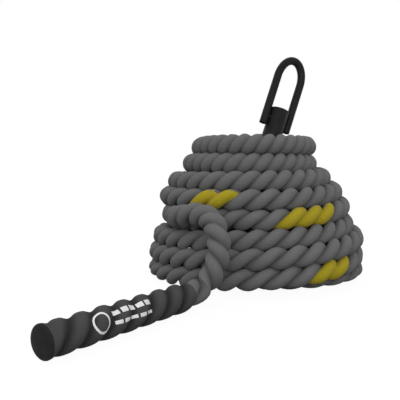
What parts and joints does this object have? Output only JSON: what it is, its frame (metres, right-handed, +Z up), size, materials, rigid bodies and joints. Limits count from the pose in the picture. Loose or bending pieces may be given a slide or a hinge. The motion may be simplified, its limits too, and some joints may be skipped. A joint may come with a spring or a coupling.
{
  "type": "training rope",
  "caption": "Thick two-strand training rope piled in a conical tower, with a sleeved handle at one end and a ferrule with a swinging steel eye at the other.",
  "frame": {"origin": "on the floor at the centre of the rope tower, where the rope's lowest turn crosses its axis", "axes": "+Z up; +X to the viewer's right in the picture and -Y towards the viewer, so the handle lies at -X, -Y"},
  "size_m": [0.6104, 0.8467, 0.5098],
  "materials": {
    "rope": "matte twisted polyester strands",
    "sleeve": "satin shrink tube",
    "cap": "matt moulded",
    "ferrule": "black satin coating",
    "bail": "black satin coating",
    "pin": "plain turned steel"
  },
  "bodies": {
    "rope": {"rope_coil": "rope", "rope_tail": "rope", "rope_head": "rope", "handle_sleeve": "sleeve", "handle_end_cap": "cap", "ferrule": "ferrule", "bail_pin": "pin"},
    "eye": {"bail": "bail"}
  },
  "joints": [
    {"name": "bail_swing", "type": "hinge", "parent": "rope", "child": "eye", "pos_m": [0.05466, 0.00783, 0.36153], "axis": [0.8532, 0.3862, -0.3505], "range_deg": [-70, 70]}
  ]
}
